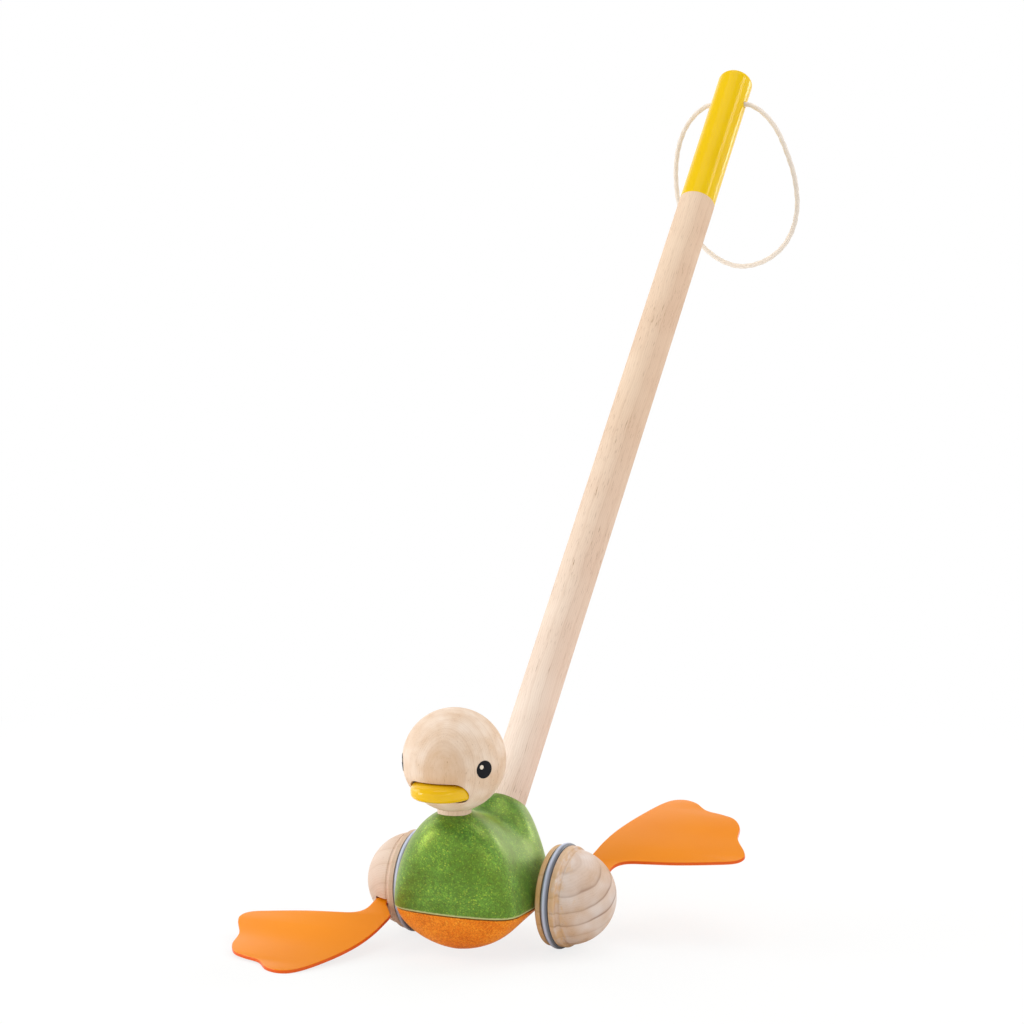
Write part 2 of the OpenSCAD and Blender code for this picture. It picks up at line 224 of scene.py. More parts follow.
def makeCord():
    line = [p + Vector(cordSet["hole"]) for p in cordLine()]
    sides, strands = cordSet["sides"], cordSet["strands"]
    radius, swell = cordSet["diameter"] / 2, cordSet["strandDepth"] / 2
    points, faces, walked = [], [], 0
    for i, p in enumerate(line):
        last = line[max(i - 1, 0)]
        ahead = (line[min(i + 1, len(line) - 1)] - last).normalized()
        across = ahead.cross(Vector((0, 1, 0))).normalized()
        up = across.cross(ahead)
        walked += (p - last).length
        turn = 2 * math.pi * walked / cordSet["strandGap"] / strands
        for k in range(sides):
            a = 2 * math.pi * k / sides
            r = radius * (1 + swell * math.cos(strands * (a - turn)))
            points.append(metres(p + r * (math.cos(a) * across + math.sin(a) * up)))
    for i in range(len(line) - 1):
        for k in range(sides):
            a, b = i * sides + k, i * sides + (k + 1) % sides
            faces.append((a, b, b + sides, a + sides))
    faces += [tuple(range(sides))[::-1], tuple(range(len(points) - sides, len(points)))]
    piece = meshPiece("hangLoop", points, faces)
    faceOutwards(piece)
    smoothFaces(piece, cordSet["smoothUnder"])
    return piece, [metres(p) for p in line], walked / 1000


hangLoop, loopPath, loopLength = makeCord()
print("cord made:", round(loopLength, 4), "m")


# body: one smooth form, parted at a flat seam into upper body and belly

bodySet = {
    # station: place along Y, lowest, widest and highest height, half width
    "stations": [(-60, 53, 53, 53, 0), (-58.2, 40.5, 49.1, 68, 15), (-53, 22.9, 33.7, 75.9, 27),
                 (-46, 7.7, 26.5, 78.5, 33.4), (-40, 4.5, 25.5, 78.7, 35), (-28, 9.5, 24.5, 75.3, 35),
                 (-10, 16.3, 24.5, 69.5, 34.6), (6, 19.7, 24.5, 76.3, 32), (22, 21.9, 26.4, 74, 22.3),
                 (36, 23.9, 32, 59, 14.5), (44, 31.5, 39.1, 50, 8), (46, 40, 40, 40, 0)],
    "backFull": 1.85, "bellyFull": 1.8, "around": 128, "perSpan": 8, "seam": 24.5, "bellyInset": 0.5,
    "neck": {"floor": 57.5, "diameter": 17.5, "drill": 100},
    "stick": {"sink": 41, "diameter": 22.1, "drill": 100},
    "axle": {"diameter": 5.16, "drill": 120}, "drillSides": 96,
    "voxel": 0.75, "smoothBy": 0.5, "softening": 100, "easing": 6, "smoothUnder": 50,
}


def bodyStation(u):
    rows = bodySet["stations"]

    def row(i):  # past an end the neighbour is mirrored, so that the end closes round
        if 0 <= i < len(rows):
            return rows[i]
        tip, near = (rows[0], rows[1]) if i < 0 else (rows[-1], rows[-2])
        return near[0], near[3], 2 * tip[2] - near[2], near[1], -near[4]

    i = min(int(u), len(rows) - 2)
    return curvePoint(row(i - 1), row(i), row(i + 1), row(i + 2), u - i)


def makeBodyForm(name):
    spans = len(bodySet["stations"]) - 1
    piece = addBall(name, bodySet["around"], spans * bodySet["perSpan"])
    for v in piece.data.vertices:  # the ball's poles become breast and tail, its rings the stations
        share = math.acos(max(-1, min(1, v.co.z))) / math.pi
        y, low, mid, high, half = bodyStation(share * spans)
        a = math.atan2(v.co.y, v.co.x)
        bend = 2 / (bodySet["backFull"] if a > 0 else bodySet["bellyFull"])
        rise = power(math.sin(a), bend)
        span = high - mid if rise > 0 else mid - low
        v.co = metres((half * power(math.cos(a), bend), y, mid + rise * span))
    return piece


def soften(piece, rounds):
    applyModifier(piece, "REMESH", {"mode": "VOXEL", "voxel_size": bodySet["voxel"] / 1000})
    applyModifier(piece, "SMOOTH", {"factor": bodySet["smoothBy"], "iterations": rounds})


def keepSide(piece, heightMm, upper):
    editWhole(piece)
    bpy.ops.mesh.bisect(plane_co=(0, 0, heightMm / 1000), plane_no=(0, 0, 1), use_fill=True,
                        clear_inner=upper, clear_outer=not upper)
    bpy.ops.object.mode_set(mode="OBJECT")


def drill(piece, middle, turn, hole):
    bpy.ops.object.select_all(action="DESELECT")
    bpy.ops.mesh.primitive_cylinder_add(
        vertices=bodySet["drillSides"], radius=hole["diameter"] / 2000, depth=hole["drill"] / 1000,
        location=metres(middle), rotation=turn)
    cutter = bpy.context.object
    applyModifier(piece, "BOOLEAN", {"operation": "DIFFERENCE", "object": cutter, "solver": "EXACT"})
    bpy.data.objects.remove(cutter)


def drillBody(piece):
    neck, stick, axle = bodySet["neck"], bodySet["stick"], bodySet["axle"]
    drill(piece, (0, toySet["neckY"], neck["floor"] + neck["drill"] / 2), (0, 0, 0), neck)
    tilt = math.radians(toySet["stickLean"])
    middle = stick["drill"] / 2 - stick["sink"]
    drill(piece, (0, toySet["stickY"] + middle * math.sin(tilt), toySet["stickZ"] + middle * math.cos(tilt)),
          (-tilt, 0, 0), stick)
    drill(piece, (0, 0, toySet["axleZ"]), (0, math.pi / 2, 0), axle)


def makeBody():
    upper = makeBodyForm("bodyUpper")
    soften(upper, bodySet["softening"])
    lower = upper.copy()
    lower.data = upper.data.copy()
    lower.name = lower.data.name = "bodyLower"
    bpy.context.scene.collection.objects.link(lower)
    half = max(station[4] for station in bodySet["stations"])
    reach = -bodySet["stations"][0][0]
    for v in lower.data.vertices:  # the belly stands back a little under the seam
        v.co.x *= 1 - bodySet["bellyInset"] / half
        v.co.y *= 1 - bodySet["bellyInset"] / reach
    for piece in (upper, lower):
        keepSide(piece, bodySet["seam"], piece == upper)
        soften(piece, bodySet["easing"])
    drillBody(upper)
    for piece in (upper, lower):
        smoothFaces(piece, bodySet["smoothUnder"])
    return upper, lower


bodyUpper, bodyLower = makeBody()
print("body made")


# beak: lacquered bill that fills its slot in the head ball and rounds to the tip

headSet = {"centre": (0, toySet["neckY"], 103.5), "radius": 26.5}  # the ball that beak and eyes sit on
beakSet = {"width": 31.5, "height": 10.2, "reach": 32, "root": 10.5, "drop": 13.25,
           "planRound": 2.2, "sideRound": 3, "rootSquare": 4, "tipSquare": 2.4,
           "around": 96, "rings": 64, "smoothUnder": 60}


def makeBeak():
    piece = addBall("beakBill", beakSet["around"], beakSet["rings"])
    headX, headY, headZ = headSet["centre"]
    plan, side = beakSet["planRound"], beakSet["sideRound"]
    for v in piece.data.vertices:  # one pole is the tip, the far half closes flat in the slot
        out = max(v.co.z, 0)
        shrink = 1 if v.co.z >= 0 else math.sqrt(1 - v.co.z ** 2)
        a = math.atan2(v.co.y, v.co.x)
        bend = 2 / (beakSet["rootSquare"] - (beakSet["rootSquare"] - beakSet["tipSquare"]) * out)
        wide = beakSet["width"] / 2 * (1 - out ** plan) ** (1 / plan) * shrink
        tall = beakSet["height"] / 2 * (1 - out ** side) ** (1 / side) * shrink
        y = beakSet["root"] + (beakSet["reach"] - beakSet["root"]) * out
        v.co = metres((headX + wide * power(math.cos(a), bend), headY - y,
                       headZ - beakSet["drop"] + tall * power(math.sin(a), bend)))
    smoothFaces(piece, beakSet["smoothUnder"])
    return piece


beakBill = makeBeak()
print("beak made")


# eyes: round black prints with a cream glint, laid on the head ball

eyeSet = {"side": 60.9, "down": 1.0, "diameter": 9.2, "thick": 0.12, "glint": 2.2, "glintForward": 1.8,
          "glintUp": 1.4, "glintThick": 0.2, "lift": 0.01, "around": 64, "rings": 5, "smoothUnder": 40}
eyeSides = {"Left": 1, "Right": -1}


def makeSpot(name, side, forward, up, diameter, thick):
    bpy.ops.object.select_all(action="DESELECT")
    bpy.ops.mesh.primitive_circle_add(vertices=eyeSet["around"], radius=diameter / 2000, fill_type="NGON")
    piece = bpy.context.object
    piece.name = piece.data.name = name
    editWhole(piece)
    for ring in range(eyeSet["rings"]):
        bpy.ops.mesh.inset(thickness=diameter / 2000 / (eyeSet["rings"] + 1), depth=0)
    bpy.ops.object.mode_set(mode="OBJECT")
    applyModifier(piece, "SOLIDIFY", {"thickness": thick / 1000, "offset": 1})
    centre, radius = Vector(headSet["centre"]), headSet["radius"]
    angle = math.radians(eyeSet["side"])
    drop = math.asin(eyeSet["down"] / radius)
    out = Vector((side * math.sin(angle) * math.cos(drop), -math.cos(angle) * math.cos(drop),
                  -math.sin(drop)))
    back = Vector((side * math.cos(angle), math.sin(angle), 0))  # towards the back of the head
    lift = Vector((0, 0, 1)) - out * out.z
    lift.normalize()
    for v in piece.data.vertices:  # wrap the flat spot onto the ball
        flat = v.co * 1000
        spot = out * radius + back * (flat.x - forward) + lift * (flat.y + up)
        v.co = metres(centre + spot.normalized() * (radius + flat.z + eyeSet["lift"]))
    faceOutwards(piece)
    smoothFaces(piece, eyeSet["smoothUnder"])
    return piece


eyes = [makeSpot("eye" + word, side, 0, 0, eyeSet["diameter"], eyeSet["thick"])
        for word, side in eyeSides.items()]
glints = [makeSpot("eyeGlint" + word, side, eyeSet["glintForward"], eyeSet["glintUp"], eyeSet["glint"],
                   eyeSet["glintThick"]) for word, side in eyeSides.items()]
print("eyes made")


# feet: cut rubber sheet, edges eased, curled where they leave the wheel

footSet = {
    "thick": 2, "length": 81, "width": 81, "webIn": 42.2, "rim": 26.2, "bendStart": 27.2,
    "tabNear": 49.5, "tabFar": 57.2, "tabFloor": 10, "tabStep": 1.5,
    "edge": 0.5, "edgeSteps": 3, "edgeOver": 60, "strip": 3, "steps": 8, "smoothUnder": 40,
    "right": {"slope": 21, "curl": 260}, "left": {"slope": 19.5, "curl": 900},
    # outline beyond the rim as shares of width and length: outer edge, three lobes, inner edge
    "outline": [(0.175, -0.06), (0.185, -0.02), (0.19, 0.035), (0.2, 0.07), (0.222, 0.1), (0.26, 0.122),
                (0.31, 0.134), (0.375, 0.142),
                (0.59, 0.17), (0.824, 0.22), (0.956, 0.26), (1.0, 0.32), (0.976, 0.395), (0.883, 0.54),
                (0.844, 0.69), (0.77, 0.795), (0.673, 0.84), (0.541, 0.88), (0.429, 0.975), (0.312, 1.0),
                (0.218, 0.93), (0.114, 0.70), (0.047, 0.5), (0.016, 0.343), (0.005, 0.22),
                (0.0, 0.121), (0.013, 0.09), (0.05, 0.04), (0.09, -0.01), (0.1, -0.06)],
}


def footOutline():
    marks = footSet["outline"]
    line = []
    for i in range(len(marks) - 1):
        ends = marks[i - 1], marks[i], marks[i + 1], marks[(i + 2) % len(marks)]
        line += [curvePoint(*ends, k / footSet["steps"]) for k in range(footSet["steps"])]
    line.append(marks[-1])
    web = [(footSet["webIn"] + u * footSet["width"], footSet["rim"] + v * footSet["length"])
           for u, v in line]
    near, far, floor = footSet["tabNear"], footSet["tabFar"], footSet["tabFloor"]
    return web + [(near, web[-1][1] - footSet["tabStep"]), (near, floor), (far, floor)]


def makeFoot(name, side):
    outline = footOutline()
    thick = footSet["thick"]
    piece = meshPiece(name, [metres((x, y, -thick / 2)) for x, y in outline], [tuple(range(len(outline)))])
    editWhole(piece)
    bpy.ops.mesh.extrude_region_move(TRANSFORM_OT_translate={"value": (0, 0, thick / 1000)})
    bpy.ops.object.mode_set(mode="OBJECT")
    faceOutwards(piece)
    applyModifier(piece, "BEVEL", {
        "width": footSet["edge"] / 1000, "segments": footSet["edgeSteps"], "limit_method": "ANGLE",
        "angle_limit": math.radians(footSet["edgeOver"]), "use_clamp_overlap": False})
    editWhole(piece)
    y = footSet["bendStart"]
    while y < footSet["rim"] + footSet["length"]:  # strips across, so that the sheet can bend
        bpy.ops.mesh.select_all(action="SELECT")
        bpy.ops.mesh.bisect(plane_co=(0, y / 1000, 0), plane_no=(0, 1, 0))
        y += footSet["strip"]
    bpy.ops.object.mode_set(mode="OBJECT")
    curl = footSet[side]["curl"]
    tilt = Matrix.Rotation(math.radians(footSet[side]["slope"]), 4, "X")
    for v in piece.data.vertices:
        x, y, h = v.co * 1000
        past = max(y - footSet["bendStart"], 0)
        phi = math.asin(past / curl)
        spot = Vector((x, y - h * math.sin(phi), curl * (1 - math.cos(phi)) + h * math.cos(phi)))
        spot = Vector((-spot.x, -spot.y, spot.z)) if side == "right" else Vector((spot.x, spot.y, -spot.z))
        v.co = metres(tilt @ spot + Vector((0, 0, toySet["axleZ"])))
    faceOutwards(piece)
    smoothFaces(piece, footSet["smoothUnder"])
    return piece


footLeft = makeFoot("footLeft", "left")
footRight = makeFoot("footRight", "right")
print("feet made")


# sanded rubberwood: pale cream, hardly any gloss, fine brown pore streaks along the grain, soft growth lines

woodTones = {
    "light": "#f0dcc9", "warm": "#e4c8af", "late": "#b98d65", "pore": "#93683f", "rough": 0.6, "shine": 0.3,
    "wanderMm": 30, "wanderBy": 4, "patchMm": 25, "poreMm": (0.35, 5), "poreDepth": 0.5,
    "fineMm": 1.1, "fineDepth": 0.1, "ringStart": 0, "lineShare": 0.08,
    # growth lines weaken above linesBelow and past linesTo from the heart, both out of reach here
    "linesBelow": 1000, "belowFade": 6, "aboveShare": 0.12, "linesTo": 1000, "toFade": 2, "pastShare": 0.3,
}


def woodSpace(tree, place, grain):  # the grain's own axes, plain and bent by slow waves
    turned = addNode(tree, "Mapping", {
        "vector_type": "TEXTURE", "Location": metres(grain["centre"]),
        "Rotation": tuple(math.radians(a) for a in grain["turn"])}, {"Vector": place}).outputs[0]
    wander = addNode(tree, "TexNoise", {"Scale": 1000 / grain["wanderMm"], "Detail": 2}, {"Vector": turned})
    shift = addNode(tree, "VectorMath", {"operation": "SUBTRACT", 1: (0.5, 0.5, 0.5)},
                    {0: wander.outputs["Color"]})
    spread = addNode(tree, "VectorMath", {"operation": "SCALE", "Scale": grain["wanderBy"] / 1000},
                     {0: shift.outputs[0]})
    bent = addNode(tree, "VectorMath", {"operation": "ADD"}, {0: turned, 1: spread.outputs[0]})
    return turned, bent.outputs[0], wander.outputs["Fac"]


def growthLines(tree, place, bent, wander, grain):  # strength of the lines, and the distance from the heart
    rings = addNode(tree, "TexWave", {
        "wave_type": "RINGS", "rings_direction": "Z", "wave_profile": "SAW",
        "Scale": ringScale(grain["ringMm"]), "Phase Offset": grain["ringStart"] * 2 * math.pi},
        {"Vector": bent})
    thin = grain["lineShare"]
    late = addNode(tree, "ValToRGB", {"stops": [
        (0.25, grey(0)), (1 - 2.5 * thin, grey(0.25)), (1 - thin, grey(1)), (1, grey(0))]},
        {"Fac": rings.outputs["Fac"]})
    fade = addNode(tree, "MapRange", {
        "From Min": 0.35, "From Max": 0.65,
        "To Min": grain["ringDepth"] * 0.4, "To Max": grain["ringDepth"]}, {"Value": wander})
    height = addNode(tree, "SeparateXYZ", None, {0: place}).outputs["Z"]
    top, topFade = metres((grain["linesBelow"], grain["belowFade"]))
    below = addNode(tree, "MapRange", {
        "From Min": top - topFade, "From Max": top, "To Min": 1, "To Max": grain["aboveShare"]},
        {"Value": height})
    flat = addNode(tree, "VectorMath", {"operation": "MULTIPLY", 1: (1, 1, 0)}, {0: bent})
    reach = addNode(tree, "VectorMath", {"operation": "LENGTH"}, {0: flat.outputs[0]}).outputs["Value"]
    end, endFade = metres((grain["linesTo"], grain["toFade"]))
    within = addNode(tree, "MapRange", {
        "From Min": end - endFade, "From Max": end + endFade, "To Min": 1, "To Max": grain["pastShare"]},
        {"Value": reach})
    shown = addNode(tree, "Math", {"operation": "MULTIPLY"}, {0: below.outputs[0], 1: within.outputs[0]})
    kept = addNode(tree, "Math", {"operation": "MULTIPLY"}, {0: fade.outputs[0], 1: shown.outputs[0]})
    depth = addNode(tree, "Math", {"operation": "MULTIPLY"}, {0: late.outputs["Color"], 1: kept.outputs[0]})
    return depth.outputs[0], reach


def rubberwood(name, grain):
    material, tree, shader, place = startMaterial(name, {
        "Roughness": grain["rough"], "Specular IOR Level": grain["shine"]})
    turned, bent, wander = woodSpace(tree, place, grain)
    lineDepth, reach = growthLines(tree, place, bent, wander, grain)
    fine = addNode(tree, "TexWave", {
        "wave_type": "RINGS", "rings_direction": "Z", "Scale": ringScale(grain["fineMm"]), "Distortion": 3,
        "Detail": 3}, {"Vector": bent})
    fineDepth = addNode(tree, "Math", {"operation": "MULTIPLY", 1: grain["fineDepth"]},
                        {0: fine.outputs["Fac"]})
    patch = addNode(tree, "TexNoise", {"Scale": 1000 / grain["patchMm"], "Detail": 2}, {"Vector": bent})
    tone = addNode(tree, "MapRange", {"From Min": 0.3, "From Max": 0.7}, {"Value": patch.outputs["Fac"]})
    across, along = grain["poreMm"]
    streak = addNode(tree, "Mapping", {"Scale": (1000 / across, 1000 / across, 1000 / along)},
                     {"Vector": turned})
    pores = addNode(tree, "TexNoise", {"Scale": 1, "Detail": 2, "Roughness": 0.6},
                    {"Vector": streak.outputs[0]})
    dark = addNode(tree, "ValToRGB", {"stops": [(0.60, grey(0)), (0.74, grey(1))]},
                   {"Fac": pores.outputs["Fac"]})
    crowd = addNode(tree, "MapRange", {
        "From Min": 0.2, "From Max": 0.9,
        "To Min": grain["poreDepth"] * 0.2, "To Max": grain["poreDepth"]}, {"Value": tone.outputs[0]})
    poreDepth = addNode(tree, "Math", {"operation": "MULTIPLY"},
                        {0: dark.outputs["Color"], 1: crowd.outputs[0]})
    colour = addNode(tree, "MixRGB", {"Color1": linear(grain["light"]), "Color2": linear(grain["warm"])},
                     {"Fac": tone.outputs[0]}).outputs["Color"]
    for hue, depth in (("late", lineDepth), ("late", fineDepth.outputs[0]), ("pore", poreDepth.outputs[0])):
        colour = addNode(tree, "MixRGB", {"Color2": linear(grain[hue])},
                         {"Fac": depth, "Color1": colour}).outputs["Color"]
    tree.links.new(colour, shader.inputs["Base Color"])
    bump = addNode(tree, "Bump", {"Strength": 0.25, "Distance": 0.0002, "invert": True},
                   {"Height": dark.outputs["Color"]})
    tree.links.new(bump.outputs[0], shader.inputs["Normal"])
    return {"material": material, "tree": tree, "shader": shader, "place": place, "turned": turned,
            "bent": bent, "reach": reach, "colour": colour}


# head: the grain's heart shows as a tan arch over the beak

headTones = {
    "centre": (10.5, -82, 89), "turn": (5.6, 0, 0), "ringMm": 5, "ringStart": 0.91, "ringDepth": 0.19,
    "wanderBy": 3, "patchMm": 11, "warm": "#e0c1a3", "poreMm": (0.4, 3), "poreDepth": 0.75,
    "heart": "#d2aa82", "heartMm": (19, 21.5), "heartShare": 0.4,
}


def headFinish():
    wood = rubberwood("rubberwoodHead", {**woodTones, **headTones})
    tree = wood["tree"]
    near, far = metres(headTones["heartMm"])
    heart = addNode(tree, "MapRange", {
        "From Min": near, "From Max": far, "To Min": headTones["heartShare"], "To Max": 0},
        {"Value": wood["reach"]})
    whole = addNode(tree, "MixRGB", {"Color2": linear(headTones["heart"])},
                    {"Fac": heart.outputs[0], "Color1": wood["colour"]})
    tree.links.new(whole.outputs["Color"], wood["shader"].inputs["Base Color"])
    return wood["material"]


# neck and joining dowels: plain straight-grained rubberwood

dowelTones = {"turn": (0, 0, 0), "ringMm": 4, "ringDepth": 0.25}

headWood = headFinish()
neckWood = rubberwood("rubberwoodNeck", {
    **woodTones, **dowelTones, "centre": (9, toySet["neckY"], 80)})["material"]
dowelWood = rubberwood("rubberwoodDowels", {**woodTones, **dowelTones, "centre": (20, 0, 20)})["material"]


# wheels, turned with the grain along the axle: growth lines over the dome, rim darkened by the turning; the
# inner side darker still, partly browner turned wood and partly painted shade next to the body

wheelTones = {
    # rim and inner bands: distances from the toy's middle over which the darker bands fade out; the inner
    # band is partly painted shade between wheel and body
    "turn": (0, 90, 0), "turningMm": (4, 9), "rimMm": (46.5, 51.5), "innerMm": (38.5, 41.5),
}


def wheelFinish(name, tones):
    wood = rubberwood(name, {**woodTones, **tones})
    tree = wood["tree"]
    across = addNode(tree, "SeparateXYZ", None, {0: wood["place"]}).outputs["X"]
    out = addNode(tree, "Math", {"operation": "ABSOLUTE"}, {0: across})
    along, about = tones["turningMm"]
    turning = addNode(tree, "Mapping", {"Scale": (1000 / along, 1000 / about, 1000 / about)},
                      {"Vector": wood["place"]})
    lines = addNode(tree, "TexNoise", {"Scale": 1, "Detail": 4, "Roughness": 0.65},
                    {"Vector": turning.outputs[0]})
    ragged = tones["raggedMm"] / 1000
    stray = addNode(tree, "Math", {"operation": "MULTIPLY_ADD", 1: ragged, 2: -ragged / 2},
                    {0: lines.outputs["Fac"]})
    edge = addNode(tree, "Math", {"operation": "ADD"}, {0: out.outputs[0], 1: stray.outputs[0]})
    # darker bands: the rim's browner turned wood, and on the inner side painted shade next to the body
    bands = []
    for band in ("rim", "inner"):
        near, far = metres(tones[band + "Mm"])
        bands.append(addNode(tree, "MapRange", {
            "From Min": near, "From Max": far, "To Min": tones[band + "Share"], "To Max": 0},
            {"Value": edge.outputs[0]}))
    rimToneAndShade = addNode(tree, "Math", {"operation": "ADD", "use_clamp": True},
                     {0: bands[0].outputs[0], 1: bands[1].outputs[0]})
    whole = addNode(tree, "MixRGB", {"Color2": linear(tones["dark"])},
                    {"Fac": rimToneAndShade.outputs[0], "Color1": wood["colour"]})
    tree.links.new(whole.outputs["Color"], wood["shader"].inputs["Base Color"])
    return wood["material"]


# dark: the rim's browner tone, also laid on the inner side as painted shade
wheelLeftWood = wheelFinish("rubberwoodWheelLeft", {
    **wheelTones, "light": "#e6d8d0", "warm": "#cfab8b", "late": "#86583a", "centre": (42, -52, 124.4),
    "ringMm": 7.8, "ringStart": 0.71, "ringDepth": 0.85, "lineShare": 0.09, "linesBelow": 46,
    "linesTo": 113.5, "wanderMm": 20, "wanderBy": 3.5, "fineDepth": 0.05, "patchMm": 17,
    "dark": "#d6a86c", "rimShare": 0.6, "innerShare": 0.25, "raggedMm": 30})
wheelRightWood = wheelFinish("rubberwoodWheelRight", {
    **wheelTones, "light": "#e4d1c2", "warm": "#dac0ab", "centre": (-42, 60, 110), "ringMm": 9,
    "ringDepth": 0.25, "dark": "#c9a47c", "rimShare": 0.35, "innerShare": 0.3, "raggedMm": 16})


# stick: rubberwood, its top dipped in yellow enamel lacquer: crisp paint line, smooth bright gloss

stickSet = {
    "centre": (14, toySet["stickY"], toySet["stickZ"]), "turn": (-toySet["stickLean"], 0, 0),
    "ringMm": 6, "ringDepth": 0.2, "poreMm": (0.45, 8), "poreDepth": 0.9, "patchMm": 40, "shine": 0.1,
    "light": "#f7e8da", "warm": "#eedaca",
    # painted light: paler at its foot, the first tint below coming in fully at the given height up the
    # stick; painted shade: the second tint darkens the stick's right side, coming in across the given band
    "footLightFade": "#f2e8da", "footLightFadeAt": 250, "rightSideShade": "#f7f0ed", "rightSideShadeMm": (-12, -5),
    "paintFrom": 418.3, "paintRough": 0.1, "main": "#eac413", "other": "#e2b70f", "cloudMm": 25,
    "cloudDetail": 2,
}


def stickFinish():
    grain = {**woodTones, **stickSet}
    wood = rubberwood("rubberwoodLacqueredStick", grain)
    tree, shader = wood["tree"], wood["shader"]
    height = addNode(tree, "SeparateXYZ", None, {0: wood["turned"]}).outputs["Z"]
    aside = addNode(tree, "SeparateXYZ", None, {0: wood["bent"]}).outputs["X"]
    # painted shade on the stick's right side
    near, far = metres(grain["rightSideShadeMm"])
    rightSideShade = addNode(tree, "MapRange", {"From Min": near, "From Max": far}, {"Value": aside})
    # painted light: paler towards the stick's foot, the tint coming in higher up
    footLightFade = addNode(tree, "MapRange", {"From Max": grain["footLightFadeAt"] / 1000}, {"Value": height})
    colour = wood["colour"]
    for hue, share in (("rightSideShade", rightSideShade), ("footLightFade", footLightFade)):
        colour = addNode(tree, "MixRGB", {"blend_type": "MULTIPLY", "Color2": linear(grain[hue])},
                         {"Fac": share.outputs[0], "Color1": colour}).outputs["Color"]
    painted = addNode(tree, "Math", {"operation": "GREATER_THAN", 1: grain["paintFrom"] / 1000},
                      {0: height}).outputs[0]
    paint = mottle(tree, wood["turned"], grain)[1]
    whole = addNode(tree, "MixRGB", None, {"Fac": painted, "Color1": colour, "Color2": paint})
    tree.links.new(whole.outputs["Color"], shader.inputs["Base Color"])
    gloss = addNode(tree, "MapRange", {"To Min": grain["rough"], "To Max": grain["paintRough"]},
                    {"Value": painted})
    tree.links.new(gloss.outputs[0], shader.inputs["Roughness"])
    return wood["material"]


stickWood = stickFinish()


# pressed wood composite, dyed sawdust and resin: satin, full of pale and dark specks; a pale worn line along
# the green's seam edge, and on the orange a dark line of painted shade under it
# the specks and the dust are drawn coarser than the real sawdust, so that they show

compositeTones = {"rough": 0.36, "fuzzRough": 0.4, "speckMm": 0.6, "speckShare": 0.5, "cloudMm": 13,
                  "raggedMm": 0.9}


def composite(name, tones):
    material, tree, shader, place = startMaterial(name, {
        "Roughness": tones["rough"], "IOR": tones["ior"], "Specular IOR Level": tones["shine"],
        "Specular Tint": linear(tones["glossTint"]), "Sheen Weight": tones["fuzz"],
        "Sheen Roughness": tones["fuzzRough"], "Sheen Tint": linear(tones["fuzzTint"])})
    cells = addNode(tree, "TexVoronoi", {"Scale": 1000 / tones["speckMm"], "Randomness": 1},
                    {"Vector": place})
    pick = addNode(tree, "SeparateColor", None, {0: cells.outputs["Color"]})
    specks = addNode(tree, "ValToRGB", {"stops": [(p, linear(c)) for p, c in tones["specks"]]},
                     {"Fac": pick.outputs["Red"]})
    dust = addNode(tree, "TexNoise", {"Scale": 1000 / tones["dustMm"], "Detail": 3, "Roughness": 0.7},
                   {"Vector": place}).outputs["Fac"]
    dusty = addNode(tree, "ValToRGB", {"stops": [
        (0.32, linear(tones["deep"])), (0.68, linear(tones["bright"]))]}, {"Fac": dust})
    body = addNode(tree, "MixRGB", {"Fac": tones["speckShare"]},
                   {"Color1": dusty.outputs["Color"], "Color2": specks.outputs["Color"]})
    cloud = addNode(tree, "TexNoise", {"Scale": 1000 / tones["cloudMm"], "Detail": 3}, {"Vector": place})
    cloudShare = addNode(tree, "MapRange", {"From Min": 0.35, "From Max": 0.7, "To Max": tones["cloudBy"]},
                         {"Value": cloud.outputs["Fac"]})
    cloudy = addNode(tree, "MixRGB", {"blend_type": "MULTIPLY", "Color2": linear(tones["shade"])},
                     {"Color1": body.outputs["Color"], "Fac": cloudShare.outputs[0]})
    # along the seam: a pale worn line on the green, and a dark line of painted shade on the orange under the
    # green's overhanging edge
    height = addNode(tree, "SeparateXYZ", None, {0: place}).outputs["Z"]
    seam, ragged, wide = metres((tones["lineMarkAt"], tones["raggedMm"], tones["lineMarkMm"]))
    line = addNode(tree, "Math", {"operation": "MULTIPLY_ADD", 1: ragged, 2: seam - ragged / 2}, {0: dust})
    away = addNode(tree, "Math", {"operation": "SUBTRACT"}, {0: height, 1: line.outputs[0]})
    close = addNode(tree, "Math", {"operation": "ABSOLUTE"}, {0: away.outputs[0]})
    lineMark = addNode(tree, "MapRange", {
        "From Min": wide / 2, "From Max": wide, "To Min": tones["lineMarkBy"], "To Max": 0},
        {"Value": close.outputs[0]})
    whole = addNode(tree, "MixRGB", {"Color2": linear(tones["lineMark"])},
                    {"Fac": lineMark.outputs[0], "Color1": cloudy.outputs["Color"]})
    tree.links.new(whole.outputs["Color"], shader.inputs["Base Color"])
    bump = addNode(tree, "Bump", {"Strength": 0.12, "Distance": 0.0003}, {"Height": dust})
    tree.links.new(bump.outputs[0], shader.inputs["Normal"])
    return material


greenComposite = composite("greenPressedWood", {
    **compositeTones, "dustMm": 1.7, "deep": "#08402c", "bright": "#549c3c",
    "shade": "#48a08c", "cloudBy": 0.9,
    "specks": [(0, "#123e28"), (0.35, "#32692e"), (0.7, "#528c36"), (0.92, "#8eb640"), (1, "#dade4c")],
    "ior": 1.75, "shine": 1.0, "glossTint": "#d6ea60", "fuzz": 0.6, "fuzzTint": "#c8dc62",
    "lineMarkAt": 25.0, "lineMarkMm": 0.9, "lineMarkBy": 0.75, "lineMark": "#c9c795"})
